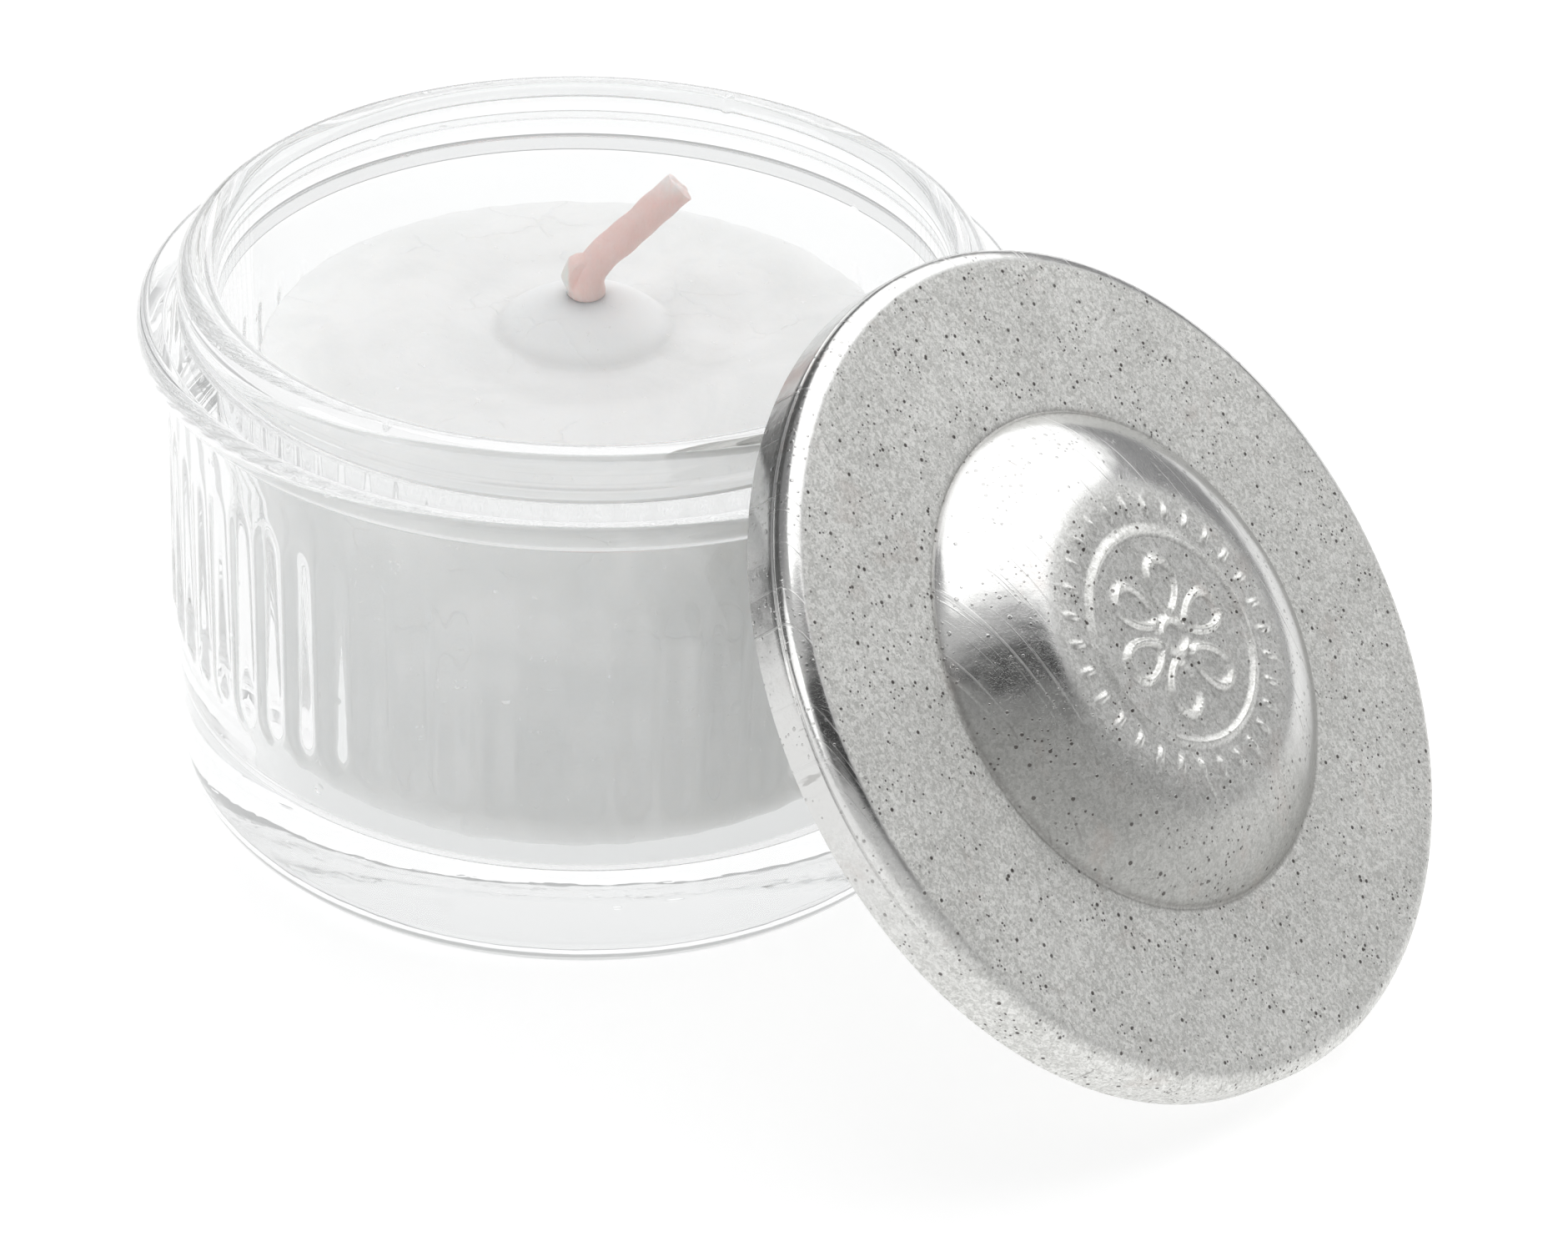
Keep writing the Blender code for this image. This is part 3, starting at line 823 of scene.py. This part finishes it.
def make_wick():
    """A soft round cord: a thicker foot where wax clings to it, and a slightly frayed, rounded tip."""
    path = wick_path()
    angles = np.arange(WICK_SEGMENTS) * math.tau / WICK_SEGMENTS
    cosines = np.cos(angles)[:, None]
    sines = np.sin(angles)[:, None]
    run = np.gradient(path, axis=0)
    run /= np.linalg.norm(run, axis=1)[:, None]
    travel = np.concatenate([[0], np.cumsum(np.linalg.norm(np.diff(path, axis=0), axis=1))])
    side = np.cross(run, [0.6, -0.8, 0])
    side /= np.linalg.norm(side, axis=1)[:, None]
    over = np.cross(run, side)
    flap_end = FLAP_Z[1] - WAX_BASE_Z
    rows = [np.repeat(path[:1], WICK_SEGMENTS, axis=0)]
    for index, point in enumerate(path):
        lumps = 0.03 * ripple(angles, travel[index] * 2.2, 12, lowest=1, highest=5, vertical=1.2)
        twist = 0.02 * np.sin(3 * angles + travel[index] * 1.6)
        foot = 0.16 * math.exp(-(((point[2] - WAX_TOP_Z - MOUND_H) / 0.9) ** 2))
        if travel[index] < flap_end:
            flap = smoothstep(-np.cos(angles), 0.6, 0.85) * smoothstep(point[2], FLAP_Z[0], FLAP_Z[0] + 0.5)
            flap = flap * smoothstep(-point[2], -FLAP_Z[1], -FLAP_Z[1] + 0.3) * FLAP_REACH
        else:
            flap = 0.0
        radius = (CORD_R + foot + lumps + twist + flap)[:, None]
        rows.append(point + (cosines * side[index] + sines * over[index]) * radius)
    tip = path[-1]
    for share in (0.9, 0.72, 0.5, 0.28):
        rise = 0.12 * math.sqrt(1 - share**2)
        frayed = 0.05 * ripple(angles, share * 4, 14, lowest=2, highest=7)
        ring = cosines * side[-1] + sines * over[-1]
        rows.append(tip + run[-1] * (rise + frayed)[:, None] + ring * CORD_R * share)
    rows.append(np.repeat((tip + run[-1] * 0.1)[None], WICK_SEGMENTS, axis=0))
    mesh = lathe_mesh("wick_cord", rows)
    return new_piece("wick_cord", mesh, wick_material(), "candle", ["wick"])


def make_tab():
    """The steel tab: a disc with a turned-down edge and a crimped neck."""
    bore = WICK_R + 0.3
    corners = [
        (bore, TAB_TOP_Z, 0),
        (bore + TAB_THICKNESS, TAB_TOP_Z, 0.1),
        (bore + TAB_THICKNESS, TAB_BASE_Z + TAB_THICKNESS, 0.25),
        (TAB_R, TAB_BASE_Z + TAB_THICKNESS, 0.12),
        (TAB_R, TAB_BASE_Z, 0.08),
        (bore, TAB_BASE_Z, 0.2),
        (bore, TAB_TOP_Z - 0.02, 0.05),
    ]
    profile = rounded(corners, 0.6)[:-1]
    rows = spun(profile, TAB_SEGMENTS, (WICK_X, WICK_Y))
    for row, (radius, height) in zip(rows, profile):
        if radius < bore + 2 * TAB_THICKNESS:
            angle = np.arctan2(row[:, 1] - WICK_Y, row[:, 0] - WICK_X)
            pinched = smoothstep(height, TAB_BASE_Z + 1, TAB_TOP_Z - 0.6)
            crimp = TAB_CRIMP * (1 - np.cos(3 * angle)) / 2 * pinched
            row[:, 0] -= np.cos(angle) * crimp
            row[:, 1] -= np.sin(angle) * crimp
    mesh = lathe_mesh("wick_tab", rows, closed=True)
    return new_piece("wick_tab", mesh, tab_material(), "candle", ["wick_sustainer"])


# ---------------------------------------------------------------- stage, light and camera


def make_floor():
    mesh = bpy.data.meshes.new("table")
    corners = [(-1, -1), (1, -1), (1, 1), (-1, 1)]
    points = [(x * TABLE_REACH * MM, y * TABLE_REACH * MM, TABLE_Z * MM) for x, y in corners]
    mesh.from_pydata(points, [], [(0, 1, 2, 3)])
    mesh.materials.append(floor_material())
    table = bpy.data.objects.new("table", mesh)
    bpy.context.scene.collection.objects.link(table)


def add_lamp(name, place, aim, size, strength, roll=0.0):
    """A soft box, in metres and in radiance."""
    data = bpy.data.lights.new(name, "AREA")
    data.shape = "RECTANGLE"
    data.size, data.size_y = size
    data.energy = strength * math.pi * size[0] * size[1]
    lamp = bpy.data.objects.new(name, data)
    look = (Vector(aim) - Vector(place)).to_track_quat("-Z", "Y")
    lamp.rotation_mode = "QUATERNION"
    lamp.rotation_quaternion = look @ Quaternion((0, 0, 1), math.radians(roll))
    lamp.location = place
    lamp.visible_transmission = False
    bpy.context.scene.collection.objects.link(lamp)


def make_world():
    """A soft grey studio with a black strip beside the overhead box.

    Through the glass it is a white tent, greyer near the horizon. Seen past the floor it is plain pale grey.
    """
    world = bpy.data.worlds.new("studio")
    world.use_nodes = True
    bpy.context.scene.world = world
    sky = Nodes(world.node_tree)
    bearing = sky.node("ShaderNodeTexCoord").outputs["Generated"]

    def toward(direction):
        inputs = [bearing, Vector(direction).normalized()]
        return sky.node("ShaderNodeVectorMath", inputs, operation="DOT_PRODUCT").outputs["Value"]

    up = toward((0, 0, 1))
    off_pole = toward(STRIP_POLE)
    shade = sky.mix(sky.step(off_pole, 0.15, 0.4), (0.3, 0.3, 0.305, 1), (0.5, 0.5, 0.5, 1))
    shade = sky.mix(sky.step(toward(FRONT), 0.35, 0.8), shade, (0.68, 0.68, 0.68, 1))
    card = sky.math("MULTIPLY", sky.step(toward(LEFT_CARD), 0.5, 0.75), sky.step(up, 0.6, 0.45))
    shade = sky.mix(card, shade, (0.11, 0.11, 0.11, 1))
    strip = sky.math("MULTIPLY", sky.step(off_pole, -0.1, 0.02), sky.step(off_pole, 0.4, 0.24))
    strip = sky.math("MULTIPLY", strip, sky.step(toward(STRIP_MIDDLE), 0.25, 0.6))
    shade = sky.mix(strip, shade, (0.02, 0.02, 0.02, 1))
    tent = sky.mix(sky.step(up, 0.1, 0.65), (0.5, 0.505, 0.505, 1), (0.98, 0.985, 0.985, 1))
    path = sky.node("ShaderNodeLightPath")
    shade = sky.mix(path.outputs["Is Transmission Ray"], shade, tent)
    shade = sky.mix(path.outputs["Is Camera Ray"], shade, (0.86, 0.86, 0.86, 1))
    sky.put(sky.tree.nodes["Background"].inputs["Color"], shade)


def make_camera():
    back = Vector(
        (
            math.sin(VIEW_AZIMUTH) * math.cos(VIEW_ELEVATION),
            -math.cos(VIEW_AZIMUTH) * math.cos(VIEW_ELEVATION),
            math.sin(VIEW_ELEVATION),
        )
    )
    ahead = Vector(
        (
            -math.sin(AIM_HEADING) * math.cos(AIM_PITCH),
            math.cos(AIM_HEADING) * math.cos(AIM_PITCH),
            -math.sin(AIM_PITCH),
        )
    )
    data = bpy.data.cameras.new("camera")
    data.sensor_width = 36
    data.lens = LENS
    data.clip_start = 0.01
    camera = bpy.data.objects.new("camera", data)
    camera.location = (Vector((0, 0, VIEW_HEIGHT)) + back * VIEW_DISTANCE) * MM
    camera.rotation_mode = "QUATERNION"
    camera.rotation_quaternion = ahead.to_track_quat("-Z", "Y") @ Quaternion((0, 0, 1), AIM_ROLL)
    bpy.context.scene.collection.objects.link(camera)
    bpy.context.scene.camera = camera


def set_render_quality():
    scene = bpy.context.scene
    scene.view_settings.view_transform = "Standard"
    scene.view_settings.look = "None"
    scene.cycles.max_bounces = 80
    scene.cycles.transmission_bounces = 80
    scene.cycles.glossy_bounces = 80
    scene.cycles.transparent_max_bounces = 24
    scene.cycles.diffuse_bounces = 4
    scene.cycles.blur_glossy = 0.3


make_jar()
make_lid()
make_wax()
make_wick()
make_tab()
make_floor()
make_world()
add_lamp("overhead_box", (-0.38, 1.09, 0.75), aim=(-0.38, 1.09, 0), size=(1.55, 2.4), strength=1.45, roll=49)
add_lamp("front_fill", (-0.42, -0.72, 0.4), aim=(0, 0, 0.02), size=(0.5, 0.5), strength=1.4)
make_camera()
set_render_quality()
